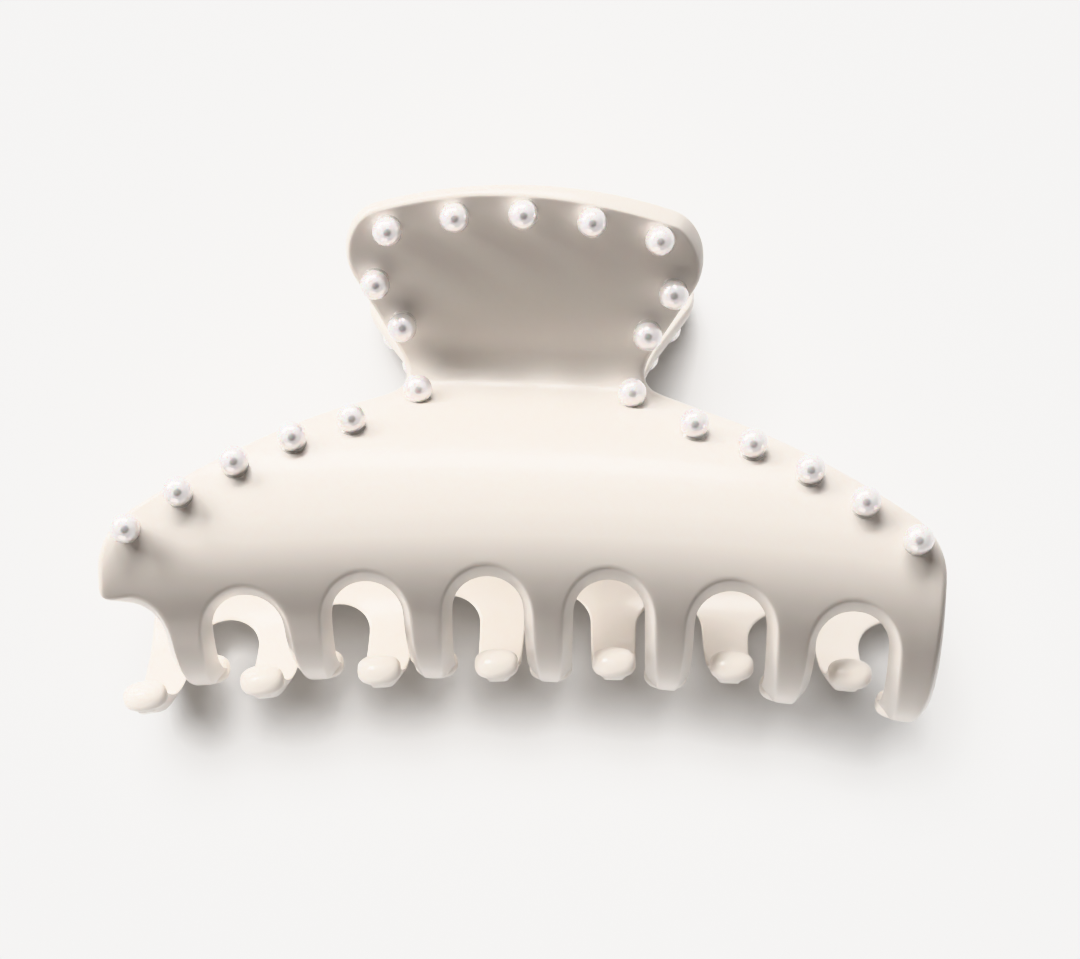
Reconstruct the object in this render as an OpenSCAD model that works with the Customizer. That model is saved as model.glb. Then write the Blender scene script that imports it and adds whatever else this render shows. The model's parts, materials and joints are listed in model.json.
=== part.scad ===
// Claw clip for hair, lying on its back jaw.
// X runs along the clip, +Y towards the thumb pads and +Z from the back jaw to the front jaw.
// The two jaws are the same moulding: the back one is the front one turned half a turn about Y.
// Each jaw is drawn in a jaw frame, with the centre of the closed barrel at its origin, and
// rest_on_table() then stands the closed clip on the plane z = 0.

/* [Jaw plate] */
// Outer radius of the barrel that the two jaws close into
barrel_r = 20; // [19:0.1:21]
// Thickness of the moulded plate
wall_t = 2.4; // [2:0.1:2.6]
// Half length of the clip at its widest
half_len = 55.6; // [54.5:0.1:57]
// Radius of the slight bow of the barrel, seen from the front
bow_r = 424; // [400:2:600]
// Place along X of the crown of the bow
bow_x = -13; // [-14:0.5:0]

/* [Thumb pad] */
// Height of the pad's top edge over the barrel's centre
pad_top = 43.8; // [42:0.1:45]
// Half width of the pad at its widest
pad_half_w = 24.2; // [23:0.1:25]
// Lean of the pad away from the middle plane, in degrees
pad_lean = 38.7; // [38:0.1:43]
// Radius of the pad's two upper corners
pad_corner_r = 5.2; // [4:0.1:6]

/* [Neck] */
// Half width of the neck at its narrowest
neck_half_w = 16.4; // [16.1:0.1:17]
// Radius of the outside of the neck's bend, in side view
neck_bend_r = 5.7; // [5:0.1:6]
// Angle round the barrel at which the neck's bend begins
neck_angle = 29; // [28:0.5:31]

/* [Prongs] */
// Number of prongs on each jaw
prongs = 7; // [7]
// Spacing of the prongs
prong_pitch = 16.1; // [15.9:0.05:16.3]
// Width of one prong
prong_w = 6.6; // [6:0.1:6.6]
// Place along X of the middle prong of the front jaw
prong_x = 3.65; // [3.55:0.05:3.8]
// Height of the middle arches over the barrel's centre
arch_top = -6.9; // [-7.5:0.1:-6]
// How far past the middle plane the centre of a tip bead lies
tip_reach = 3.6; // [3:0.1:4]
// Diameter of a tip bead
bead_d = 4.3; // [4:0.1:4.4]
// Width of a tip bead
bead_w = 6; // [5.6:0.1:6.2]

/* [Hinge and spring] */
// Diameter of the hinge pin
pin_d = 2; // [1.8:0.1:2.2]
// Radial clearance between the pin and the ears
pin_gap = 0.05; // [0.03:0.01:0.08]
// Radius of the rounded end of an ear
ear_r = 3.9; // [3.6:0.1:4]
// Thickness of one ear
ear_t = 2.8; // [2.4:0.1:2.8]
// Diameter of the spring wire
wire_d = 1.2; // [1:0.05:1.2]
// Mean radius of the spring's coil
coil_r = 2.9; // [2.6:0.1:2.9]
// Full turns of the coil, besides the last half turn
coil_turns = 10; // [8:1:10]

/* [Pearls] */
// Diameter of a pearl
pearl_d = 4; // [3.6:0.1:4.2]
// Depth to which a pearl is set into the plate
pearl_sink = 0.55; // [0.4:0.05:0.7]
// Pearls along each shoulder
shoulder_pearls = 5; // [5]

/* [Hidden] */
$fn = 48;
PEARLS = 2 * shoulder_pearls + 11;
function two_digits(n) = str(n < 10 ? "0" : "", n);
function pearl_name(side, n) = str(side, "_pearl_", two_digits(n + 1));

IVORY = [0.95, 0.93, 0.89];
PEARL = [0.96, 0.92, 0.90];
STEEL = [0.75, 0.76, 0.78];
FAR = 90;               // longer than any cut needs
SWEEP = 11;             // half the angle of the bowed plate about its far axis
BOW_FN = 720;           // steps in a full turn of the bowed plate
ARC_STEP = 6;           // degrees between two points of a rounded outline
LAP_ANGLE = 1.5;        // degrees by which two stretches of the side view run into each other
LAP_DEPTH = 0.01;       // depth by which their surfaces cross there, so that they fuse into one solid

// Axis of the bow, parallel to Z and far below the clip
bow_axis = [bow_x, -sqrt(bow_r * bow_r - bow_x * bow_x)];

// Side view of the plate, as [y, z] in the jaw frame
bend_c = (barrel_r + neck_bend_r - LAP_DEPTH) * [cos(neck_angle), sin(neck_angle)];
pad_out = [-sin(pad_lean), cos(pad_lean)];
pad_foot = bend_c - neck_bend_r * pad_out;
pad_len = (pad_top - pad_foot[0]) / cos(pad_lean);
hinge_y = bend_c[0];
crown_angle = 108;
tip_angle = 180 + asin(tip_reach / (barrel_r - wall_t / 2));

// Front view of the plate: centres (_c), radii (_r) and angles of its round stretches
corner_drop = 7.2;      // from the pad's top down to the centres of its corners
corner_c = [pad_half_w - pad_corner_r, pad_top - corner_drop];
top_r = (pow(corner_c[0], 2) + pow(pad_top - corner_c[1], 2) - pow(pad_corner_r, 2))
    / (2 * (pad_top - corner_c[1] - pad_corner_r));
neck_fillet_r = 2.6;
neck_fillet_c = [neck_half_w + neck_fillet_r, 22.1];
neck_fillet_from = 247;
side_angle = 31;        // slope of the pad's sides from the Y direction
shoulder_r = 150;
shoulder_c = [-36.4, -120.1];
shoulder_from = 56.6;
shoulder_to = 67.4;
end_r = 9.8;
end_c = [half_len - end_r, -6.5];
end_to = 57;
end_foot = [half_len - 0.9, -12];

// Arches between the prongs
arch_r = (prong_pitch - prong_w) / 2;
arch_drop = 0.0022;     // how the arches sink towards the ends, per millimetre squared
half_arch_r = 5;
half_arch_top = -10.9;

// Ears: the outer one lies against the neck's side, the inner one inside the other jaw's outer ear
ear_gap = 0.3;
ear_end = 15;
ear_web = 1.6 * ear_r;  // width of the web that joins an ear to the neck
pin_head_r = 1.9;
pin_head_t = 1;
pin_rivet_r = 1.5;
pin_rivet_t = 0.7;
pin_end_play = 0.1;

// Spring
coil_gap = 0.05;
coil_pitch = wire_d + coil_gap;
coil_half = (coil_turns + 0.5) * coil_pitch / 2;
leg_len = 14;
leg_lean = pad_lean + 3;
leg_hook_r = 1.3;
leg_hook_len = 2.5;
WIRE_SIDES = 8;
TURN_RINGS = 16;

// Ribs that keep a spring leg in place on the inside of a pad
rib_t = 1;
rib_len = 6.5;
rib_h = 1.7;
rib_from = 6.5;
rib_gap = 0.25;

// Pearl rows, in the front view, and how far each row leans with the bow
shoulder_row_c = [-1.1, -71.4];
shoulder_row_r = 88;
shoulder_row_from = 74.2;
shoulder_row_step = 5.25;
shoulder_row_skew = 0.26;
pad_row_top = 41.6;
pad_row_r = 81;
pad_row_step = 6.5;
pad_side_pearls = [[20.2, 33.4], [16.8, 28.3]];
neck_pearl = [14.6, 18.1];
seat_r = 1.45;
seat_depth = pearl_sink - 0.05;

// Height of the barrel's centre over the table: the clip lies on the back jaw's end pearls
rest_z = barrel_r + pearl_d - pearl_sink;

// Middle of the clip along Y, from the corner of the last bead to the inner edge of the pad's top
bead_edge = 0.9;        // chamfer of a bead's two ends
tip_u = (barrel_r - wall_t / 2) * cos(tip_angle);
last_turn = asin((prong_at(prongs - 1) - bow_x) / (bow_r + tip_u));
low_y = bow_axis[1] + (bow_r + tip_u - bead_d / 2) * cos(last_turn) - (bead_w / 2 - bead_edge) * sin(last_turn);
high_y = pad_top + wall_t * sin(pad_lean);
centre_y = (low_y + high_y) / 2;

// Shift in Y that the bow gives at x
function bow_drop(x) = sqrt(bow_r * bow_r - pow(x - bow_x, 2)) + bow_axis[1];
function arc(c, r, a0, a1) =
    let (n = max(1, ceil(abs(a1 - a0) / ARC_STEP)))
    [for (i = [0 : n]) let (a = a0 + (a1 - a0) * i / n) c + r * [cos(a), sin(a)]];
function flip(points) = [for (i = [len(points) - 1 : -1 : 0]) [-points[i][0], points[i][1]]];
function prong_at(n) = prong_x + (n - (prongs - 1) / 2) * prong_pitch;

// Height and outward direction of the plate's outside, for a distance u from the barrel's centre
function skin_z(u) =
    u < barrel_r * cos(neck_angle) ? sqrt(barrel_r * barrel_r - u * u)
    : u < pad_foot[0] ? bend_c[1] - sqrt(pow(neck_bend_r, 2) - pow(u - bend_c[0], 2))
    : pad_foot[1] + (u - pad_foot[0]) * tan(pad_lean);
function skin_out(u) =
    u < barrel_r * cos(neck_angle) ? [u, skin_z(u)] / barrel_r
    : u < pad_foot[0] ? (bend_c - [u, skin_z(u)]) / neck_bend_r
    : pad_out;

// Places its children on the plate's outside over the point p of the front view, +Z outwards
module on_skin(p) {
    reach = norm(p - bow_axis);
    u = reach - bow_r;
    out = skin_out(u);
    translate([bow_axis[0], bow_axis[1], 0])
        rotate([0, 0, -asin((p[0] - bow_axis[0]) / reach)])
            translate([0, reach, skin_z(u)])
                rotate([atan2(-out[0], out[1]), 0, 0])
                    children();
}

module wedge(c, a0, a1) {
    mid = (a0 + a1) / 2;
    polygon([c, c + FAR * [cos(a0), sin(a0)], c + FAR * [cos(mid), sin(mid)], c + FAR * [cos(a1), sin(a1)]]);
}

module ring_piece(c, r_in, r_out, a0, a1) {
    intersection() {
        difference() {
            translate(c) circle(r = r_out);
            translate(c) circle(r = r_in);
        }
        wedge(c, a0, a1);
    }
}

// Side view of the plate, from the prong tips round the barrel, through the neck and up the pad
module side_view() {
    ring_piece([0, 0], barrel_r - wall_t, barrel_r, neck_angle - LAP_ANGLE, crown_angle + LAP_ANGLE);
    ring_piece([0, 0], barrel_r - wall_t, barrel_r, crown_angle, tip_angle);
    ring_piece(bend_c, neck_bend_r, neck_bend_r + wall_t,
        180 + neck_angle - LAP_ANGLE, 270 + pad_lean + LAP_ANGLE);
    along = [cos(pad_lean), sin(pad_lean)];
    foot = pad_foot + LAP_DEPTH * pad_out;
    polygon([foot, foot + pad_len * along, foot + pad_len * along - wall_t * pad_out, foot - wall_t * pad_out]);
}

// The side view swept along the bow
module bowed_plate() {
    translate([bow_axis[0], bow_axis[1], 0])
        rotate([0, 0, 90 - SWEEP])
            rotate_extrude(angle = 2 * SWEEP, $fn = BOW_FN)
                translate([bow_r, 0])
                    side_view();
}

// Right half of the outline in front view, from the barrel's end up to the side of the pad
function right_side() =
    let (
        neck = arc(neck_fillet_c, neck_fillet_r, neck_fillet_from, 180 - side_angle),
        last = neck[len(neck) - 1])
    concat(
        [[end_foot[0], -FAR], end_foot],
        arc(end_c, end_r, 0, end_to),
        arc(shoulder_c, shoulder_r, shoulder_from, shoulder_to),
        neck,
        [last + FAR * [sin(side_angle), cos(side_angle)] / 2]);

module front_view() {
    polygon(concat(right_side(), flip(right_side())));
}

// Rounded end of the pad, in the pad's own plane: what lies outside it is cut off square
function on_pad(p) = [p[0], (p[1] + bow_drop(p[0]) - pad_foot[0]) / cos(pad_lean)];
module pad_waste() {
    corner = arc(corner_c, pad_corner_r, -side_angle, 78);
    top = arc([0, pad_top - top_r], top_r, 79, 90);
    edge = concat(corner, top);
    whole = concat(edge, flip(edge));
    translate([0, pad_foot[0], pad_foot[1]])
        rotate([pad_lean, 0, 0])
            translate([0, 0, -2 * wall_t])
                linear_extrude(3 * wall_t)
                    polygon(concat(
                        [for (p = whole) on_pad(p)],
                        [[-FAR, on_pad(whole[len(whole) - 1])[1]], [-FAR, FAR], [FAR, FAR],
                            [FAR, on_pad(whole[0])[1]]]));
}

// One arch, open downwards, as a cut through the plate
module arch_cut(x, top, r) {
    translate([0, 0, -FAR / 2])
        linear_extrude(FAR) {
            translate([x, top - r]) circle(r = r);
            translate([x - r, -FAR]) square([2 * r, FAR + top - r]);
        }
}

module arches() {
    for (n = [0 : prongs - 2]) {
        x = prong_at(n + 0.5);
        arch_cut(x, arch_top - arch_drop * x * x, arch_r);
    }
}

// Half arch at the free end of the row
module half_arch() {
    x = prong_at(-0.5);
    arch_cut(x, half_arch_top, half_arch_r);
    translate([x - FAR, -FAR, -FAR / 2]) cube([FAR, FAR + half_arch_top, FAR]);
}

// Thickened end of one prong
module tip_bead(n) {
    r = bead_d / 2;
    half = bead_w / 2;
    translate([bow_axis[0], bow_axis[1], 0])
        rotate([0, 0, -asin((prong_at(n) - bow_axis[0]) / (bow_r + tip_u))])
            translate([0, bow_r + tip_u, -tip_reach])
                rotate([0, 90, 0])
                    rotate_extrude()
                        polygon([[0, -half], [r - bead_edge, -half], [r, -half + bead_edge],
                            [r, half - bead_edge], [r - bead_edge, half], [0, half]]);
}

// Ear blank, from x_from towards +X
module ear(x_from) {
    web_h = bend_c[1] - neck_bend_r - wall_t / 2;
    translate([x_from, hinge_y, 0]) {
        rotate([0, 90, 0]) cylinder(r = ear_r, h = ear_t);
        translate([0, -ear_web / 2, 0]) cube([ear_t, ear_web, web_h]);
    }
}

module hinge_bore() {
    translate([-FAR, hinge_y, 0]) rotate([0, 90, 0]) cylinder(d = pin_d + 2 * pin_gap, h = 2 * FAR);
}

// Two ribs either side of the spring leg, on the inside of the pad
module leg_ribs() {
    translate([coil_half, pad_foot[0], pad_foot[1]])
        rotate([pad_lean, 0, 0])
            for (side = [-1, 1])
                translate([side * (wire_d + rib_t + 2 * rib_gap) / 2 - rib_t / 2, rib_from, -wall_t - rib_h])
                    cube([rib_t, rib_len, rib_h + wall_t / 2]);
}

// Pearl places, in the front view
function skewed(p, share = 1) = [p[0], p[1] + share * (bow_drop(p[0]) - bow_drop(0))];
function shoulder_pearl(n, side) =
    let (a = shoulder_row_from - n * shoulder_row_step, p = shoulder_row_c + shoulder_row_r * [cos(a), sin(a)])
    skewed([side * p[0], p[1]], shoulder_row_skew);
function pad_pearl(n) =
    let (a = 90 - n * pad_row_step)
    skewed([pad_row_r * cos(a), pad_row_top - pad_row_r + pad_row_r * sin(a)]);
pearl_spots = concat(
    [for (n = [0 : shoulder_pearls - 1]) shoulder_pearl(n, -1)],
    [for (n = [0 : shoulder_pearls - 1]) shoulder_pearl(n, 1)],
    [for (n = [-2 : 2]) pad_pearl(n)],
    [for (side = [-1, 1]) for (p = pad_side_pearls) skewed([side * p[0], p[1]])],
    [for (side = [-1, 1]) [side * neck_pearl[0], neck_pearl[1]]]);

module pearl(n) {
    color(PEARL)
        on_skin(pearl_spots[n])
            intersection() {
                translate([0, 0, pearl_d / 2 - pearl_sink]) sphere(d = pearl_d);
                translate([-pearl_d, -pearl_d, -seat_depth]) cube(2 * pearl_d);
            }
}

module pearl_seats() {
    for (p = pearl_spots)
        on_skin(p) translate([0, 0, -seat_depth]) cylinder(r = seat_r, h = pearl_d);
}

// One moulding: plate, prongs with their beads, ears and ribs
module jaw() {
    color(IVORY)
        difference() {
            union() {
                difference() {
                    intersection() {
                        bowed_plate();
                        translate([0, 0, -FAR / 2]) linear_extrude(FAR) front_view();
                    }
                    pad_waste();
                    arches();
                    half_arch();
                }
                for (n = [0 : prongs - 1]) tip_bead(n);
                ear(-ear_end);
                ear(ear_end - 2 * ear_t - ear_gap);
                leg_ribs();
            }
            hinge_bore();
            pearl_seats();
        }
}

module rest_on_table() {
    translate([0, -centre_y, rest_z]) children();
}

module as_back() {
    rotate([0, 180, 0]) children();
}

module hinge_pin() {
    color(STEEL)
        translate([0, hinge_y, 0])
            rotate([0, 90, 0]) {
                rivet_from = -ear_end - pin_end_play - pin_rivet_t;
                translate([0, 0, rivet_from]) cylinder(d = pin_d, h = ear_end + pin_head_t - rivet_from);
                translate([0, 0, rivet_from]) cylinder(r = pin_rivet_r, h = pin_rivet_t);
                translate([0, 0, ear_end]) cylinder(r = pin_head_r, h = pin_head_t);
            }
}

// Centre line of half the wire, from the middle of the coil out to the hooked end of the front leg.
// Each entry is a point and the direction that the wire's first side faces there.
leg_r = bend_c[1] - coil_r;
leg_end = bend_c + leg_r * [sin(leg_lean), -cos(leg_lean)] + leg_len * [cos(leg_lean), sin(leg_lean)];
half_turns = coil_turns + 0.5;
coil_rings = round(half_turns * TURN_RINGS / 2);
function leg_point(s, x) = [x, leg_end[0] + s * cos(leg_lean), leg_end[1] + s * sin(leg_lean)];
half_wire = concat(
    [for (i = [0 : coil_rings])
        let (t = i / coil_rings, b = (t - 1) * half_turns * 180)
        [[coil_half * t, hinge_y + coil_r * sin(b), coil_r * cos(b)], [0, sin(b), cos(b)]]],
    [for (i = [1 : 4])
        let (a = leg_lean * i / 4)
        [[coil_half, bend_c[0] + leg_r * sin(a), bend_c[1] - leg_r * cos(a)], [0, -sin(a), cos(a)]]],
    [for (a = [0 : 22.5 : 90])
        [leg_point(leg_hook_r * sin(a), coil_half - leg_hook_r * (1 - cos(a))),
            [0, -sin(leg_lean), cos(leg_lean)]]],
    [[leg_point(leg_hook_r, coil_half - leg_hook_r - leg_hook_len), [0, -sin(leg_lean), cos(leg_lean)]]]);
function turned(v) = [-v[0], v[1], -v[2]];
wire = concat(
    [for (i = [len(half_wire) - 1 : -1 : 1]) [turned(half_wire[i][0]), turned(half_wire[i][1])]],
    half_wire);

function unit(v) = v / norm(v);
function wire_ring(i) =
    let (
        last = len(wire) - 1,
        t = unit(wire[min(i + 1, last)][0] - wire[max(i - 1, 0)][0]),
        u = unit(wire[i][1] - (wire[i][1] * t) * t),
        v = cross(t, u))
    [for (k = [0 : WIRE_SIDES - 1])
        let (a = 360 * k / WIRE_SIDES)
        wire[i][0] + wire_d / 2 * (cos(a) * u + sin(a) * v)];

module torsion_spring() {
    rings = len(wire);
    sides = [for (i = [0 : rings - 2]) for (k = [0 : WIRE_SIDES - 1])
        let (next = (k + 1) % WIRE_SIDES)
        [i * WIRE_SIDES + k, i * WIRE_SIDES + next, (i + 1) * WIRE_SIDES + next, (i + 1) * WIRE_SIDES + k]];
    color(STEEL)
        polyhedron(
            points = [for (i = [0 : rings - 1]) each wire_ring(i)],
            faces = concat(sides,
                [[for (k = [WIRE_SIDES - 1 : -1 : 0]) k]],
                [[for (k = [0 : WIRE_SIDES - 1]) (rings - 1) * WIRE_SIDES + k]]));
}

rest_on_table() jaw();  // front_jaw
rest_on_table() as_back() jaw();  // back_jaw
rest_on_table() hinge_pin();
rest_on_table() torsion_spring();
for (n = [0 : PEARLS - 1]) {
    rest_on_table() pearl(n);
    rest_on_table() as_back() pearl(n);
}
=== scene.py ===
import json
import math

import bpy
import numpy as np
from mathutils import Matrix, Vector, geometry


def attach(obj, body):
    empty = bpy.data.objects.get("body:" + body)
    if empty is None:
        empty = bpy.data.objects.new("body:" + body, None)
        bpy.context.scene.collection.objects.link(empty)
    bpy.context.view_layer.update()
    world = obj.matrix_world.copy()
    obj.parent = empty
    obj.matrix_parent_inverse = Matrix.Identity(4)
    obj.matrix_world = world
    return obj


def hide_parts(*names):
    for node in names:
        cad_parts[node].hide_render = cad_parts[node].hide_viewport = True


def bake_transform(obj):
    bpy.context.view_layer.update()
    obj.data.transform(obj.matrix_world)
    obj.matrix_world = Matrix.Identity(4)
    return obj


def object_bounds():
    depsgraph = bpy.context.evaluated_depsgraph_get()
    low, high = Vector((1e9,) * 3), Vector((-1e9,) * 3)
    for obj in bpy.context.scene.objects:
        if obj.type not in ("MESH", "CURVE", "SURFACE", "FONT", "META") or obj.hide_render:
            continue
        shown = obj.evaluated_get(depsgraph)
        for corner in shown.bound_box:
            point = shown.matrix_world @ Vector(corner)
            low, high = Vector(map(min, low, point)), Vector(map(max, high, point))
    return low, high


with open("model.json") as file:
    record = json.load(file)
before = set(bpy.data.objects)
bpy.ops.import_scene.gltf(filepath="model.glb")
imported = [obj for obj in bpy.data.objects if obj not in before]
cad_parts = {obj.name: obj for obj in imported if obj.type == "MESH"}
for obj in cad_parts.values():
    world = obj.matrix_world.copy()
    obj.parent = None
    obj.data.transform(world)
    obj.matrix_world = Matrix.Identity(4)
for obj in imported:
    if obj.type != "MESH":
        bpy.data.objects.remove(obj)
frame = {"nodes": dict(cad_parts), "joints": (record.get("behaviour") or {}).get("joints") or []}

cad_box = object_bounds()

# Sizes are in millimetres, in the jaw frame: the centre of the closed barrel is its origin, X runs along
# the clip, +Y goes to the thumb pads and +Z to the front jaw. place() takes them to the row frame.
MM = 0.001
BARREL_R = 20.0
WALL = 2.4
BOW_R = 424.0
BOW_X = -13.0
NECK_BEND_R = 5.7
NECK_ANGLE = math.radians(29)
PAD_LEAN = math.radians(38.7)
PAD_TOP = 43.8
PRONGS = 7
PITCH = 16.1
PRONG_X = 3.65
PRONG_W = 6.6
ARCH_TOP = -6.9
ARCH_DROP = 0.0022
HALF_ARCH_TOP = -10.9
HALF_ARCH_R = 5.0
TIP_REACH = 3.6
PEARL_R = 2.0
WIRE_R = 0.6
COIL_R = 2.9
COIL_TURNS = 10
COIL_GAP = 0.05
HALF_TURNS = COIL_TURNS + 0.5
COIL_HALF = HALF_TURNS * (2 * WIRE_R + COIL_GAP) / 2
EAR_R = 3.9
EAR_T = 2.8
EAR_END = 15.0
EAR_GAP = 0.3
BORE_R = 1.05
PIN_R = 1.0

BOW_AXIS = np.array([BOW_X, -math.sqrt(BOW_R ** 2 - BOW_X ** 2)])
BEND_C = (BARREL_R + NECK_BEND_R) * np.array([math.cos(NECK_ANGLE), math.sin(NECK_ANGLE)])
PAD_OUT = np.array([-math.sin(PAD_LEAN), math.cos(PAD_LEAN)])
PAD_ALONG = np.array([math.cos(PAD_LEAN), math.sin(PAD_LEAN)])
PAD_FOOT = BEND_C - NECK_BEND_R * PAD_OUT
BEND_LEN = NECK_BEND_R * (math.pi / 2 + PAD_LEAN - NECK_ANGLE)
TIP_ANGLE = math.pi + math.asin(TIP_REACH / (BARREL_R - WALL / 2))
TIP_S = -BARREL_R * (TIP_ANGLE - NECK_ANGLE)
HALF_LEN = cad_box[1][0] / MM

HINGE = Vector(frame["joints"][0]["pos_m"])
HINGE_Y = BEND_C[0]
SHIFT = np.array([0, HINGE.y / MM - HINGE_Y, HINGE.z / MM])


def place(points):
    """Jaw frame in millimetres to the row frame in metres."""
    return (np.asarray(points, float) + SHIFT) * MM


def turned(points):
    """The back jaw is the front one turned half a turn about Y."""
    return np.asarray(points, float) * (-1, 1, -1)


# ---------------------------------------------------------------- shape of the plate

def bow_drop(x):
    return np.sqrt(BOW_R ** 2 - (np.asarray(x, float) - BOW_X) ** 2) + BOW_AXIS[1]


def skin(s):
    """Side view of the plate's outside at the distance s along it from the neck's bend: point and normal."""
    s = np.asarray(s, float)
    a = NECK_ANGLE - s / BARREL_R
    b = math.pi + NECK_ANGLE + s / NECK_BEND_R
    on_barrel, on_pad = s < 0, s > BEND_LEN
    u = np.where(on_barrel, BARREL_R * np.cos(a), BEND_C[0] + NECK_BEND_R * np.cos(b))
    z = np.where(on_barrel, BARREL_R * np.sin(a), BEND_C[1] + NECK_BEND_R * np.sin(b))
    nu = np.where(on_barrel, np.cos(a), -np.cos(b))
    nz = np.where(on_barrel, np.sin(a), -np.sin(b))
    u = np.where(on_pad, PAD_FOOT[0] + (s - BEND_LEN) * PAD_ALONG[0], u)
    z = np.where(on_pad, PAD_FOOT[1] + (s - BEND_LEN) * PAD_ALONG[1], z)
    nu = np.where(on_pad, PAD_OUT[0], nu)
    nz = np.where(on_pad, PAD_OUT[1], nz)
    return u, z, nu, nz


def along_skin(u):
    """Distance along the side view at which its outside is u from the barrel's centre."""
    u = np.asarray(u, float)
    a = np.arccos(np.clip(u / BARREL_R, -1, 1))
    b = 2 * math.pi - np.arccos(np.clip((u - BEND_C[0]) / NECK_BEND_R, -1, 1))
    s = np.where(u < BARREL_R * math.cos(NECK_ANGLE), -BARREL_R * (a - NECK_ANGLE),
                 NECK_BEND_R * (b - math.pi - NECK_ANGLE))
    return np.where(u > PAD_FOOT[0], BEND_LEN + (u - PAD_FOOT[0]) / PAD_ALONG[0], s)


def on_plate(x, s, depth):
    """Point of the plate at x, at s along the side view and at a depth under its outside."""
    u, z, nu, nz = skin(s)
    u, z = u - depth * nu, z - depth * nz
    r = BOW_R + u
    y = np.sqrt(r ** 2 - (x - BOW_X) ** 2) + BOW_AXIS[1]
    return np.stack([x, y, z], axis=-1)


def arc(c, r, a0, a1, step=0.6):
    n = max(2, int(abs(math.radians(a1 - a0)) * r / step) + 1)
    a = np.radians(np.linspace(a0, a1, n))
    return np.stack([c[0] + r * np.cos(a), c[1] + r * np.sin(a)], axis=-1)


def prong_at(n):
    return PRONG_X + (n - (PRONGS - 1) / 2) * PITCH


def in_domain(plan, skew=True):
    """Outline points of the front view (x, y) to (x, s). The pad's top follows the bow, the rest is given as seen."""
    x, y = plan[:, 0], plan[:, 1]
    w = np.clip((y - 24) / 10, 0, 1) if skew else 0
    w = w * w * (3 - 2 * w)
    return np.stack([x, along_skin(y - (1 - w) * bow_drop(x))], axis=-1)


def right_side():
    """Pad, neck, shoulder and end of the right half of the front view, from the top's middle downwards."""
    corner_c, corner_r = (19.0, 36.6), 5.2
    rise = PAD_TOP - corner_c[1]
    top_r = (corner_c[0] ** 2 + rise ** 2 - corner_r ** 2) / (2 * (rise - corner_r))
    return np.concatenate([
        arc((0, PAD_TOP - top_r), top_r, 90, 79.5),
        arc(corner_c, corner_r, 77, -31),
        arc((19.0, 22.1), 2.6, 149, 247),
        arc((-36.4, -120.1), 150, 67.0, 57.2),
        arc((HALF_LEN - 9.8, -6.5), 9.8, 55, 0),
    ])


CHAMFER = 1.0       # share of chamfer on a prong or an arch; a plain edge has 0
UNDERCUT = 0.7      # how far an arch's inner edge lies above its outer one, along the plate's slope
TOP_SPREAD = 0.8    # how much wider the chamfer gets at the top of an arch
TIP_SPREAD = 1.5    # and at the end of a prong, which it rounds off


def tip(n):
    """Rounded end of prong n, from its right side to its left side."""
    a = np.radians(np.linspace(0, -180, 17))
    half, long = 2.9, 1.6
    return np.stack([prong_at(n) + half * np.cos(a), TIP_S + 1.0 + long * np.sin(a)], axis=-1)


def arch(x, top, r, a1):
    """One arch from its right side, with a chamfer that widens towards the top to stay in sight there."""
    points = arc((x, top - UNDERCUT - r), r, 0, a1)
    angles = np.radians(np.linspace(0, a1, len(points)))
    return in_domain(points, skew=False), CHAMFER, 1 + TOP_SPREAD * np.sin(angles) ** 2


def pad_rim(plan):
    """Share of chamfer along the pad's top, where the photograph shows a bevel that widens to the right."""
    rise = np.clip((plan[:, 1] - 34) / 5, 0, 1)
    return rise * (0.1 + 0.9 * np.clip((plan[:, 0] + 8) / 22, 0, 1))


def outline():
    """Whole outline of one jaw in (x, s), clockwise from the pad's top.
    With each point come its share of chamfer and how much wider than usual that chamfer is."""
    right = right_side()
    left = np.concatenate([[(-HALF_LEN + 0.5, HALF_ARCH_TOP + 0.1), (-HALF_LEN, HALF_ARCH_TOP + 0.8)],
                           right[::-1] * (-1, 1)])
    stretches = [(in_domain(right), pad_rim(right), 1.0)]
    for n in reversed(range(PRONGS)):
        stretches.append((tip(n), CHAMFER, TIP_SPREAD))
        if n:
            x = prong_at(n - 0.5)
            stretches.append(arch(x, ARCH_TOP - ARCH_DROP * x * x, (PITCH - PRONG_W) / 2, 180))
    stretches.append(arch(prong_at(-0.5), HALF_ARCH_TOP, HALF_ARCH_R, 90))
    stretches.append((in_domain(left), pad_rim(left), 1.0))
    points, shares, spreads = zip(*stretches)
    return (np.concatenate(points), np.concatenate([np.broadcast_to(v, len(p)) for p, v in zip(points, shares)]),
            np.concatenate([np.broadcast_to(v, len(p)) for p, v in zip(points, spreads)]))


def resampled(points, share, spread, step):
    """The closed outline at even steps, slightly smoothed."""
    closed = np.vstack([points, points[:1]])
    length = np.r_[0, np.cumsum(np.linalg.norm(np.diff(closed, axis=0), axis=1))]
    at = np.linspace(0, length[-1], int(length[-1] / step), endpoint=False)

    def at_steps(values):
        return np.interp(at, length, np.r_[values, values[:1]])

    p = np.stack([at_steps(points[:, 0]), at_steps(points[:, 1])], axis=-1)
    return smoothed(p, 2), smoothed(at_steps(share), 12), smoothed(at_steps(spread), 8)


def smoothed(values, times):
    for _ in range(times):
        values = (np.roll(values, 1, 0) + 2 * values + np.roll(values, -1, 0)) / 4
    return values


def inward(points):
    """Direction into the plate at each point of a clockwise outline."""
    t = np.roll(points, -1, 0) - np.roll(points, 1, 0)
    n = np.stack([t[:, 1], -t[:, 0]], axis=-1)
    n /= np.linalg.norm(n, axis=1)[:, None]
    n = smoothed(n, 10)
    return n / np.linalg.norm(n, axis=1)[:, None]


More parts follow.
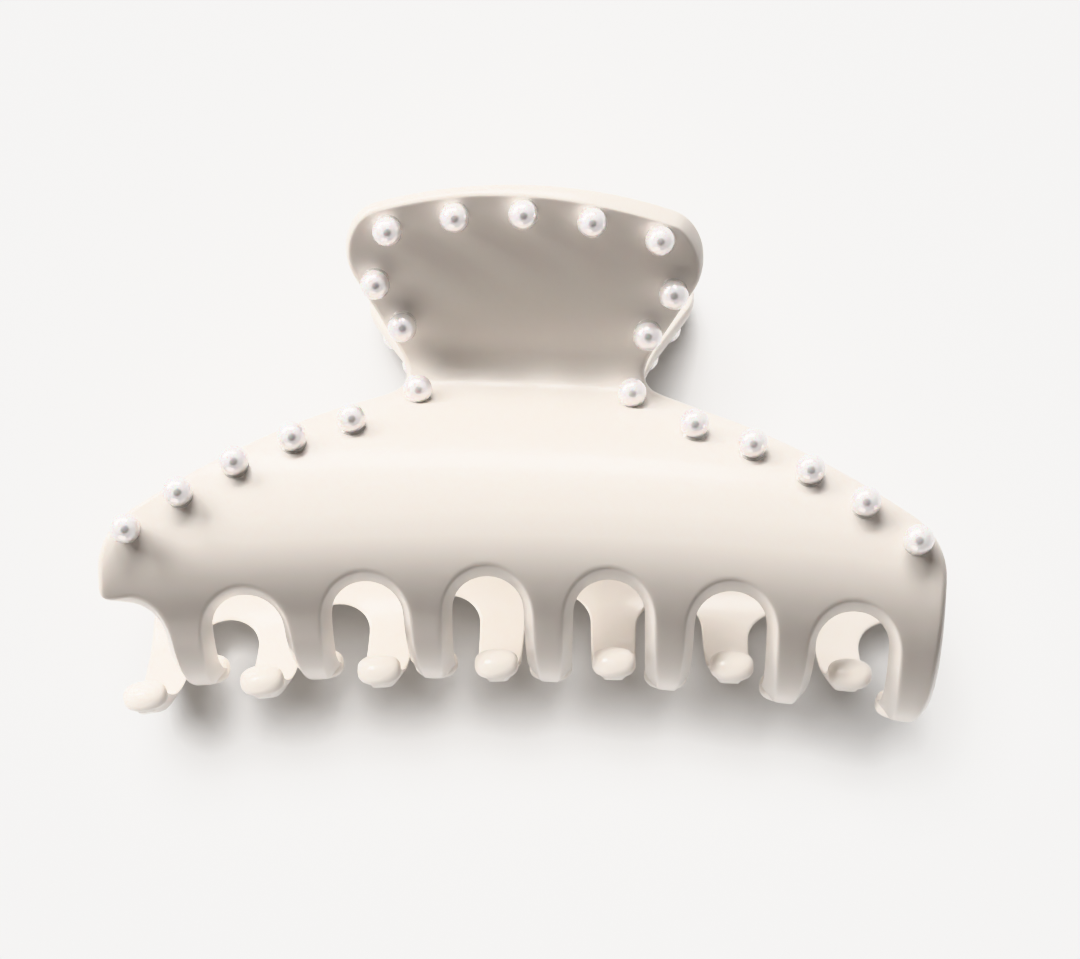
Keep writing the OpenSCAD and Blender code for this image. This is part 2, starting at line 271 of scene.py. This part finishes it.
# Edge of the plate as (distance in from the outline, depth), from the outer face round to the inner one
CHAMFERED_EDGE = [(1.62, 0.0), (1.36, 0.02), (1.2, 0.1), (1.08, 0.26), (0.34, 1.5), (0.14, 1.9), (0.04, 2.08),
                  (0.0, 2.18), (0.05, 2.29), (0.16, 2.37), (0.4, WALL)]
PLAIN_EDGE = [(0.85, 0.0), (0.6, 0.02), (0.36, 0.12), (0.17, 0.3), (0.05, 0.6), (0.0, 1.0), (0.0, 1.5),
              (0.03, 1.85), (0.14, 2.15), (0.32, 2.34), (0.6, WALL)]


def inside(points, ring):
    """Which points lie inside a closed ring."""
    x, y = points[:, 0][:, None], points[:, 1][:, None]
    x0, y0 = ring[:, 0], ring[:, 1]
    x1, y1 = np.roll(x0, -1), np.roll(y0, -1)
    rise = np.where(y1 == y0, 1e-12, y1 - y0)
    crosses = ((y0 > y) != (y1 > y)) & (x < x0 + (y - y0) * (x1 - x0) / rise)
    return crosses.sum(1) % 2 == 1


def filled(ring, pitch=1.15, margin=0.55):
    """Triangles that fill a ring, with the extra points that they use: (points, triangles)."""
    lo, hi = ring.min(0), ring.max(0)
    xs, ys = np.arange(lo[0], hi[0], pitch), np.arange(lo[1], hi[1], pitch)
    grid = np.stack(np.meshgrid(xs, ys), axis=-1)
    grid[1::2, :, 0] += pitch / 2
    grid = grid.reshape(-1, 2)
    grid = grid[inside(grid, ring)]
    near = np.full(len(grid), np.inf)
    for p in ring:
        near = np.minimum(near, ((grid - p) ** 2).sum(1))
    grid = grid[near > margin ** 2]
    points = np.vstack([ring, grid])
    n = len(ring)
    verts, _, faces, *_ = geometry.delaunay_2d_cdt(
        [Vector(p) for p in points], [(i, (i + 1) % n) for i in range(n)], [], 1, 1e-6)
    if len(verts) != len(points):
        raise ValueError("the ring crosses itself")
    tris = np.array([f for f in faces])
    middles = points[tris].mean(1)
    return grid, tris[inside(middles, ring)]


def plate():
    """One jaw's plate: (vertices, faces) in the jaw frame."""
    ring, share, spread = resampled(*outline(), 0.55)
    n = inward(ring)
    rings, verts = [], []
    for (inset_c, depth_c), (inset_p, depth_p) in zip(CHAMFERED_EDGE, PLAIN_EDGE):
        inset = share * spread * inset_c + (1 - share) * inset_p
        depth = share * depth_c + (1 - share) * depth_p
        flat = ring + n * inset[:, None]
        rings.append(flat)
        verts.append(on_plate(flat[:, 0], flat[:, 1], depth))
    count, faces = len(ring), []
    for k in range(len(rings) - 1):
        a, b = k * count, (k + 1) * count
        for i in range(count):
            j = (i + 1) % count
            faces.append((a + i, a + j, b + j, b + i))
    base = len(rings) * count
    for flat, depth, first, flip in ((rings[0], 0.0, 0, False), (rings[-1], WALL, base - count, True)):
        extra, tris = filled(flat)
        verts.append(on_plate(extra[:, 0], extra[:, 1], depth))
        for t in tris:
            corners = [first + i if i < count else base + i - count for i in t]
            faces.append(tuple(reversed(corners)) if flip else tuple(corners))
        base += len(extra)
    return np.concatenate(verts), faces


def outward(verts, faces):
    """Turns every face of a closed mesh the same way, outwards."""
    tri = [(f[0], f[i], f[i + 1]) for f in faces for i in range(1, len(f) - 1)]
    a, b, c = (verts[[t[k] for t in tri]] for k in range(3))
    volume = (a * np.cross(b, c)).sum() / 6
    return faces if volume > 0 else [tuple(reversed(f)) for f in faces]


def joined(parts):
    """Several (vertices, faces) as one."""
    verts, faces, base = [], [], 0
    for v, f in parts:
        f = outward(np.asarray(v, float), f)
        verts.append(np.asarray(v, float))
        faces += [tuple(i + base for i in face) for face in f]
        base += len(v)
    return np.concatenate(verts), faces


def lathe(profile, steps=40):
    """A closed solid of revolution about Z from (radius, z) points that start and end on the axis."""
    rows, verts = profile[1:-1], [(0, 0, profile[0][1])]
    for r, z in rows:
        for k in range(steps):
            a = 2 * math.pi * k / steps
            verts.append((r * math.cos(a), r * math.sin(a), z))
    verts.append((0, 0, profile[-1][1]))
    faces = [(0, 1 + (k + 1) % steps, 1 + k) for k in range(steps)]
    for j in range(len(rows) - 1):
        for k in range(steps):
            a, b = 1 + j * steps + k, 1 + j * steps + (k + 1) % steps
            faces.append((a, b, b + steps, a + steps))
    last, base = len(verts) - 1, 1 + (len(rows) - 1) * steps
    faces += [(last, base + k, base + (k + 1) % steps) for k in range(steps)]
    return np.array(verts, float), faces


def ring_lathe(profile, steps=40):
    """A closed ring of revolution about Z from a closed loop of (radius, z) points."""
    m, verts = len(profile), []
    for k in range(steps):
        a = 2 * math.pi * k / steps
        verts += [(r * math.cos(a), r * math.sin(a), z) for r, z in profile]
    faces = []
    for k in range(steps):
        a, b = k * m, (k + 1) % steps * m
        faces += [(a + j, b + j, b + (j + 1) % m, a + (j + 1) % m) for j in range(m)]
    return np.array(verts, float), faces


def bead(n):
    """Smooth swollen end of prong n."""
    half, thick, tall, inwards = 3.0, 2.1, 2.2, 0.75
    rows, steps, verts = 25, 32, []
    for j in range(1, rows):
        v = math.pi * j / rows - math.pi / 2
        flat = math.copysign(abs(math.sin(v)) ** 0.9, v)
        round_ = math.cos(v) ** 0.72
        for k in range(steps):
            a = 2 * math.pi * k / steps
            verts.append((half * flat, thick * round_ * math.cos(a), tall * round_ * math.sin(a)))
    verts += [(-half, 0, 0), (half, 0, 0)]
    count = len(verts)
    faces = [(j * steps + k, j * steps + (k + 1) % steps, (j + 1) * steps + (k + 1) % steps, (j + 1) * steps + k)
             for j in range(rows - 2) for k in range(steps)]
    faces += [(count - 2, (k + 1) % steps, k) for k in range(steps)]
    last = (rows - 2) * steps
    faces += [(count - 1, last + k, last + (k + 1) % steps) for k in range(steps)]
    u = (BARREL_R - WALL / 2 - inwards) * math.cos(TIP_ANGLE)
    x = prong_at(n)
    bend = -math.asin((x - BOW_X) / (BOW_R + u))
    verts = np.array(verts)
    c, s = math.cos(bend), math.sin(bend)
    y = float(np.sqrt((BOW_R + u) ** 2 - (x - BOW_X) ** 2) + BOW_AXIS[1])
    turned_xy = np.stack([c * verts[:, 0] - s * verts[:, 1], s * verts[:, 0] + c * verts[:, 1], verts[:, 2]], -1)
    return turned_xy + (x, y, -TIP_REACH), faces


def ear(x_from):
    """One hinge ear: a round end with a bore, on a web that runs into the neck."""
    steps, web, edge = 96, 0.8 * EAR_R, 0.35
    top = BEND_C[1] - NECK_BEND_R - WALL / 2
    angles = [2 * math.pi * k / steps for k in range(steps)]

    def reach(a, less):
        c, s = math.cos(a), math.sin(a)
        out = EAR_R - less
        if s > 0:
            out = max(out, min((web - less) / max(abs(c), 1e-6), top / s))
        return out

    rings = [(BORE_R + edge / 2, None, 0), (None, edge, 0), (None, edge * 0.3, edge * 0.3), (None, 0, edge),
             (None, 0, EAR_T - edge), (None, edge * 0.3, EAR_T - edge * 0.3), (None, edge, EAR_T),
             (BORE_R + edge / 2, None, EAR_T), (BORE_R, None, EAR_T - edge / 2), (BORE_R, None, edge / 2)]
    verts = []
    for r, less, x in rings:
        for a in angles:
            d = r if r is not None else reach(a, less)
            verts.append((x_from + x, HINGE_Y + d * math.cos(a), d * math.sin(a)))
    faces = [(j * steps + k, j * steps + (k + 1) % steps,
              (j + 1) % len(rings) * steps + (k + 1) % steps, (j + 1) % len(rings) * steps + k)
             for j in range(len(rings)) for k in range(steps)]
    return np.array(verts), faces


def rib(x):
    """One of the two ribs that keep a spring leg in place, on the inside of the pad."""
    start, length, height, half, edge = 6.5, 6.5, 1.7, 0.5, 0.25
    corner_r, sunk = 0.3, 0.6
    loops = [(0, -WALL + sunk), (0, -WALL - height + edge), (edge, -WALL - height)]
    verts, corner = [], 5
    for inset, w in loops:
        for sx, sv, a0 in ((1, 1, 0), (-1, 1, 90), (-1, -1, 180), (1, -1, 270)):
            for k in range(corner):
                a = math.radians(a0 + 90 * k / (corner - 1))
                r = corner_r - inset * 0.6
                px = sx * (half - corner_r) + r * math.cos(a)
                pv = start + length / 2 + sv * (length / 2 - corner_r) + r * math.sin(a)
                y = PAD_FOOT[0] + pv * PAD_ALONG[0] + w * PAD_OUT[0]
                z = PAD_FOOT[1] + pv * PAD_ALONG[1] + w * PAD_OUT[1]
                verts.append((x + px, y, z))
    m = 4 * corner
    faces = [(j * m + k, j * m + (k + 1) % m, (j + 1) * m + (k + 1) % m, (j + 1) * m + k)
             for j in range(len(loops) - 1) for k in range(m)]
    faces += [tuple(range(m - 1, -1, -1)), tuple(range((len(loops) - 1) * m, len(loops) * m))]
    return np.array(verts), faces


# ---------------------------------------------------------------- objects

def mesh_object(name, verts, faces, material, body, replaces=()):
    mesh = bpy.data.meshes.new(name)
    mesh.from_pydata([tuple(v) for v in place(verts)], [], faces)
    mesh.validate()
    mesh.shade_smooth()
    mesh.set_sharp_from_angle(angle=math.radians(50))
    mesh.materials.append(material)
    o = bpy.data.objects.new(name, mesh)
    bpy.context.scene.collection.objects.link(o)
    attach(o, body)
    if replaces:
        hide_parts(*replaces)
    return o


def jaw():
    parts = [plate()]
    parts += [ear(-EAR_END), ear(EAR_END - 2 * EAR_T - EAR_GAP)]
    parts += [rib(COIL_HALF + side * (WIRE_R + 0.25 + 0.5)) for side in (-1, 1)]
    return joined(parts)


# ---------------------------------------------------------------- materials

def material(name, colour, **sockets):
    """A Principled material with its plain values set on the shader. Returns (material, nodes, links, shader)."""
    m = bpy.data.materials.new(name)
    m.use_nodes = True
    shader = m.node_tree.nodes["Principled BSDF"]
    shader.inputs["Base Color"].default_value = (*colour, 1)
    for key, value in sockets.items():
        shader.inputs[key.replace("_", " ")].default_value = value
    return m, m.node_tree.nodes, m.node_tree.links, shader


def noise(nodes, links, scale, detail, stretch=(1, 1, 1)):
    coords = nodes.new("ShaderNodeTexCoord")
    mapping = nodes.new("ShaderNodeMapping")
    mapping.inputs["Scale"].default_value = stretch
    texture = nodes.new("ShaderNodeTexNoise")
    texture.inputs["Scale"].default_value = scale
    texture.inputs["Detail"].default_value = detail
    links.new(coords.outputs["Object"], mapping.inputs["Vector"])
    links.new(mapping.outputs["Vector"], texture.inputs["Vector"])
    return texture.outputs["Fac"]


def ramp(nodes, links, value, stops):
    node = nodes.new("ShaderNodeValToRGB")
    elements = node.color_ramp.elements
    while len(elements) < len(stops):
        elements.new(0.5)
    for element, (at, colour) in zip(elements, stops):
        element.position = at
        element.color = (*colour, 1)
    links.new(value, node.inputs["Fac"])
    return node.outputs["Color"]


def bump(nodes, links, shader, layers):
    """Stacks (height, strength, distance) layers into the shader's normal."""
    normal = None
    for height, strength, distance in layers:
        node = nodes.new("ShaderNodeBump")
        node.inputs["Strength"].default_value = strength
        node.inputs["Distance"].default_value = distance
        links.new(height, node.inputs["Height"])
        if normal:
            links.new(normal, node.inputs["Normal"])
        normal = node.outputs["Normal"]
    links.new(normal, shader.inputs["Normal"])


def ivory_plastic():
    m, nodes, links, shader = material(
        "ivory_plastic", (0.865, 0.82, 0.77), Roughness=0.3, Coat_Weight=0.25, Coat_Roughness=0.12,
        Subsurface_Weight=0.12, Subsurface_Scale=0.0012)
    shader.inputs["Subsurface Radius"].default_value = (1.0, 0.7, 0.5)
    flow = noise(nodes, links, 45, 2, (0.6, 1.4, 1))
    colour = ramp(nodes, links, flow, [(0.0, (0.85, 0.80, 0.75)), (1.0, (0.88, 0.835, 0.79))])
    links.new(colour, shader.inputs["Base Color"])
    gloss = noise(nodes, links, 90, 1)
    links.new(ramp(nodes, links, gloss, [(0.0, (0.27,) * 3), (1.0, (0.35,) * 3)]), shader.inputs["Roughness"])
    bump(nodes, links, shader, [(noise(nodes, links, 150, 2), 0.06, 0.0002)])
    return m


def pearl_lacquer():
    m, nodes, links, shader = material(
        "pearl_lacquer", (0.94, 0.91, 0.91), Roughness=0.22, Metallic=0.45, Coat_Weight=1.0, Coat_Roughness=0.05,
        Coat_IOR=1.7, Subsurface_Weight=0.3, Subsurface_Scale=0.001)
    swirl = noise(nodes, links, 260, 2)
    colour = ramp(nodes, links, swirl, [(0.0, (0.93, 0.90, 0.92)), (1.0, (0.97, 0.94, 0.92))])
    links.new(colour, shader.inputs["Base Color"])
    bump(nodes, links, shader, [(noise(nodes, links, 700, 2), 0.15, 0.00008)])
    return m


def steel_wire(name, colour, rough):
    m, nodes, links, shader = material(name, colour, Metallic=1.0, Roughness=rough)
    drawn = noise(nodes, links, 900, 3, (6, 1, 1))
    links.new(ramp(nodes, links, drawn, [(0.3, (rough - 0.08,) * 3), (0.7, (rough + 0.12,) * 3)]),
              shader.inputs["Roughness"])
    bump(nodes, links, shader, [(drawn, 0.15, 0.00003)])
    return m


def clear_glue():
    m, nodes, links, shader = material(
        "clear_glue", (0.86, 0.83, 0.78), Roughness=0.12, Coat_Weight=0.6, Coat_Roughness=0.05,
        Transmission_Weight=0.4, IOR=1.48)
    bump(nodes, links, shader, [(noise(nodes, links, 1500, 2), 0.25, 0.0001)])
    return m


IVORY = ivory_plastic()
LACQUER = pearl_lacquer()
GLUE = clear_glue()
PIN_STEEL = steel_wire("pin_steel", (0.62, 0.63, 0.65), 0.22)
SPRING_STEEL = steel_wire("spring_steel", (0.48, 0.48, 0.50), 0.28)


# ---------------------------------------------------------------- the clip

JAW = jaw()
mesh_object("front_moulding", JAW[0], JAW[1], IVORY, "front", ["front_jaw"])
mesh_object("back_moulding", turned(JAW[0]), JAW[1], IVORY, "back", ["back_jaw"])
BEADS = joined([bead(n) for n in range(PRONGS)])
tips = [mesh_object("front_prong_tips", BEADS[0], BEADS[1], IVORY, "front"),
        mesh_object("back_prong_tips", turned(BEADS[0]), BEADS[1], IVORY, "back")]


def sphere_centre(node):
    """Centre of a pearl's CAD solid, in the jaw frame: every vertex of it lies on the sphere."""
    v = np.array([p.co for p in frame["nodes"][node].data.vertices]) / MM - SHIFT
    a = np.c_[2 * v, np.ones(len(v))]
    return np.linalg.lstsq(a, (v ** 2).sum(1), rcond=None)[0][:3]


def outward_under(c):
    """The plate's outward direction under the point c, on the front jaw."""
    samples = np.arange(TIP_S, 40, 0.1)
    u, z, nu, nz = skin(samples)
    turn = math.asin((c[0] - BOW_X) / np.linalg.norm(c[:2] - BOW_AXIS))
    u_c = np.linalg.norm(c[:2] - BOW_AXIS) - BOW_R
    k = np.argmin((u - u_c) ** 2 + (z - c[2]) ** 2)
    return Vector((nu[k] * math.sin(turn), nu[k] * math.cos(turn), nz[k]))


def pearl_profile():
    rows = [(0, -1.95), (0.3, -1.95), (0.44, -1.93)]
    for k in range(2, 30):
        a = math.radians(-90 + 180 * k / 30)
        rows.append((PEARL_R * math.cos(a), PEARL_R * math.sin(a)))
    return rows + [(0, PEARL_R)]


GLUE_LOOP = [(1.2, -1.75), (1.9, -1.75), (1.82, -1.44), (1.66, -1.36), (1.5, -1.2), (1.36, -1.2)]

for side, body in (("front", "front"), ("back", "back")):
    glue = []
    for n in range(1, 22):
        node = f"{side}_pearl_{n:02d}"
        centre = sphere_centre(node)
        as_front = centre if side == "front" else turned(centre)
        turn = np.array(outward_under(as_front).to_track_quat("Z", "Y").to_matrix())
        verts, faces = lathe(pearl_profile(), 48)
        verts = verts @ turn.T + as_front
        ring, ring_faces = ring_lathe(GLUE_LOOP)
        ring = ring @ turn.T + as_front
        if side == "back":
            verts, ring = turned(verts), turned(ring)
        mesh_object(f"{side}_pearl_bead_{n:02d}", verts, outward(verts, faces), LACQUER, body, [node])
        glue.append((ring, ring_faces))
    verts, faces = joined(glue)
    mesh_object(f"{side}_glue", verts, faces, GLUE, body)


def across(verts):
    """Turns a shape made about Z so that it lies along the hinge pin."""
    v = np.asarray(verts)
    return np.stack([v[:, 2], v[:, 1] + HINGE_Y, -v[:, 0]], axis=-1)


pin = [(0, -15.8), (1.2, -15.8), (1.42, -15.68), (1.5, -15.45), (1.45, -15.15), (1.3, -15.1), (PIN_R, -15.1),
       (PIN_R, 15.0), (1.75, 15.0), (1.9, 15.12), (1.9, 15.5), (1.78, 15.8), (1.3, 15.97), (0, 16.0)]
verts, faces = lathe(pin, 40)
verts = across(verts)
mesh_object("hinge_pin_steel", verts, outward(verts, faces), PIN_STEEL, "back", ["hinge_pin"])


def tube(path, radius, sides=16):
    """A tube with closed, slightly rounded ends along a list of points."""
    path = np.array(path, float)
    t = np.gradient(path, axis=0)
    t /= np.linalg.norm(t, axis=1)[:, None]
    normal = Vector(t[0]).orthogonal().normalized()
    verts, faces, count = [], [], len(path)
    for i in range(count):
        d = Vector(t[i])
        normal = (normal - normal.dot(d) * d).normalized()
        other = d.cross(normal)
        for k in range(sides):
            a = 2 * math.pi * k / sides
            verts.append(path[i] + radius * np.array(math.cos(a) * normal + math.sin(a) * other))
    for i in range(count - 1):
        for k in range(sides):
            a, b = i * sides + k, i * sides + (k + 1) % sides
            faces.append((a, b, b + sides, a + sides))
    for i, step in ((0, -1), (count - 1, 1)):
        verts.append(path[i] + step * 0.35 * radius * t[i])
        end, first = len(verts) - 1, i * sides
        for k in range(sides):
            faces.append((end, first + k, first + (k + 1) % sides))
            if step < 0:
                faces[-1] = faces[-1][::-1]
    return np.array(verts), faces


def coil_path():
    steps, path = 210, []
    for i in range(2 * steps + 1):
        t = i / steps - 1
        b = (abs(t) - 1) * HALF_TURNS * math.pi
        y, z = HINGE_Y + COIL_R * math.sin(b), COIL_R * math.cos(b)
        path.append((COIL_HALF * t, y, z if t > 0 else -z))
    return path


def leg_path():
    """The front leg, from the end of the coil along the inside of the pad to its hook."""
    lean = PAD_LEAN + math.radians(3)
    r = BEND_C[1] - COIL_R
    along, hook_r, hook = 14.0, 1.3, 2.5
    path = [(COIL_HALF, BEND_C[0] + r * math.sin(lean * k / 8), BEND_C[1] - r * math.cos(lean * k / 8))
            for k in range(9)]
    end = np.array([BEND_C[0] + r * math.sin(lean), BEND_C[1] - r * math.cos(lean)])
    step = np.array([math.cos(lean), math.sin(lean)])
    path += [(COIL_HALF, *(end + step * along * k / 8)) for k in range(1, 9)]
    end = end + step * along
    for k in range(1, 7):
        a = math.pi / 2 * k / 6
        path.append((COIL_HALF - hook_r * (1 - math.cos(a)), *(end + step * hook_r * math.sin(a))))
    for k in range(1, 4):
        path.append((COIL_HALF - hook_r - hook * k / 3, *(end + step * hook_r)))
    return path


verts, faces = tube(coil_path(), WIRE_R)
coil = bpy.data.meshes.new("spring_coil")
coil.from_pydata([tuple(v) for v in place(verts)], [], outward(verts, faces))
coil.shade_smooth()
coil.materials.append(SPRING_STEEL)
coil = bpy.data.objects.new("spring_coil", coil)
bpy.context.scene.collection.objects.link(coil)
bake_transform(coil)
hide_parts("torsion_spring")
verts, faces = tube(leg_path(), WIRE_R)
mesh_object("front_spring_leg", verts, outward(verts, faces), SPRING_STEEL, "front")
mesh_object("back_spring_leg", turned(verts), outward(verts, faces), SPRING_STEEL, "back")


# ---------------------------------------------------------------- floor, light and camera

def staged(name, verts, faces, colour, roughness):
    mesh = bpy.data.meshes.new(name)
    mesh.from_pydata(verts, [], faces)
    m, *_ = material(name, colour, Roughness=roughness)
    mesh.materials.append(m)
    o = bpy.data.objects.new(name, mesh)
    bpy.context.scene.collection.objects.link(o)
    return o


F = 1.5     # half the floor's width, in metres
floor = staged("floor", [(-F, -F, 0), (F, -F, 0), (F, F, 0), (-F, F, 0)], [(0, 1, 2, 3)], (0.9, 0.9, 0.9), 0.7)

# This view transform keeps the bright faces at the back from clipping to white.
scene = bpy.context.scene
scene.view_settings.view_transform = "Khronos PBR Neutral"
scene.view_settings.look = "None"

TARGET = Vector((0, 0, cad_box[1][2] / 2))


def area_light(name, direction, distance, size, power, colour):
    light = bpy.data.lights.new(name, "AREA")
    light.shape = "RECTANGLE"
    light.size, light.size_y = size
    light.energy = power
    light.color = colour
    o = bpy.data.objects.new(name, light)
    o.location = TARGET + Vector(direction).normalized() * distance
    o.rotation_euler = (TARGET - o.location).to_track_quat("-Z", "Y").to_euler()
    scene.collection.objects.link(o)
    return o


# The photograph's clip lies on a background that is blown out to white. So the low key light leaves the floor
# alone, and a wide light overhead brightens only the floor. A small accent light reaches only the prong tips,
# which the photograph shows nearly white; the rest of the clip shades them from it.
overhead = bpy.data.lights.new("overhead", "SUN")
overhead.energy = 4.0
overhead.angle = math.radians(34)
overhead = bpy.data.objects.new("overhead", overhead)
overhead.rotation_euler = Vector((-0.1, 0.3, 1)).to_track_quat("Z", "Y").to_euler()
scene.collection.objects.link(overhead)
lights = {
    "floor": [overhead],
    "clip": [area_light("key", (-0.77, 0.61, 0.44), 0.6, (0.42, 0.16), 5.6, (1.0, 0.985, 0.965)),
             area_light("window", (-0.1, 0.82, 0.56), 0.6, (0.35, 0.15), 3.6, (1.0, 0.98, 0.96)),
             area_light("fill", (-0.35, -0.9, 0.12), 0.4, (0.25, 0.2), 0.33, (1.0, 0.92, 0.86))],
    "tips": [area_light("tip_key", (-0.45, 0.25, 0.86), 0.7, (0.17, 0.17), 6.5, (1.0, 0.985, 0.965))]}
lit = {name: bpy.data.collections.new("lit_" + name) for name in lights}
for o in [o for o in scene.objects if o.type == "MESH"]:
    lit["floor" if o == floor else "clip"].objects.link(o)
    if o in tips:
        lit["tips"].objects.link(o)
for name, group in lights.items():
    for light in group:
        light.light_linking.receiver_collection = lit[name]

# What the shine reflects straight up: the dark round of camera and hands. It only shows in reflections.
hood_x, hood_y, hood_z, hood_r = 0.03, -0.11, 0.33, 0.19
hood = staged("camera_hood", [(hood_x + hood_r * math.cos(a), hood_y + hood_r * math.sin(a), hood_z)
                              for a in np.linspace(0, 2 * math.pi, 24, endpoint=False)],
              [tuple(range(24))], (0.1, 0.1, 0.1), 0.9)
hood.visible_camera = hood.visible_diffuse = hood.visible_shadow = hood.visible_transmission = False

# The backdrop is white to the eye and in reflections, and only weakly lights the scene.
world = bpy.data.worlds.new("studio")
world.use_nodes = True
nodes, links = world.node_tree.nodes, world.node_tree.links
backdrop, ambient = nodes.new("ShaderNodeBackground"), nodes["Background"]
backdrop.inputs["Color"].default_value = (1, 1, 1, 1)
backdrop.inputs["Strength"].default_value = 1.0
ambient.inputs["Color"].default_value = (1.0, 0.90, 0.80, 1)
ambient.inputs["Strength"].default_value = 0.11
seen, mixed = nodes.new("ShaderNodeLightPath"), nodes.new("ShaderNodeMixShader")
links.new(seen.outputs["Is Diffuse Ray"], mixed.inputs["Fac"])
links.new(backdrop.outputs["Background"], mixed.inputs[1])
links.new(ambient.outputs["Background"], mixed.inputs[2])
links.new(mixed.outputs["Shader"], nodes["World Output"].inputs["Surface"])
scene.world = world

camera = bpy.data.cameras.new("camera")
camera.lens = 71.0
camera.sensor_width = 36.0
camera.clip_start, camera.clip_end = 0.01, 10
camera_object = bpy.data.objects.new("camera", camera)
# Place in the jaw frame and turns in radians, as the photograph's perspective shows them
CAMERA_AT, CAMERA_TURNS = (10.70, -28.94, 296.69), (0.1244, 0.02927, 0.00699)
turn_x, turn_y, turn_z = (Matrix.Rotation(angle, 4, axis) for angle, axis in zip(CAMERA_TURNS, "XYZ"))
camera_object.matrix_world = Matrix.Translation(Vector(place(CAMERA_AT))) @ turn_x @ turn_y @ turn_z
scene.collection.objects.link(camera_object)
scene.camera = camera_object
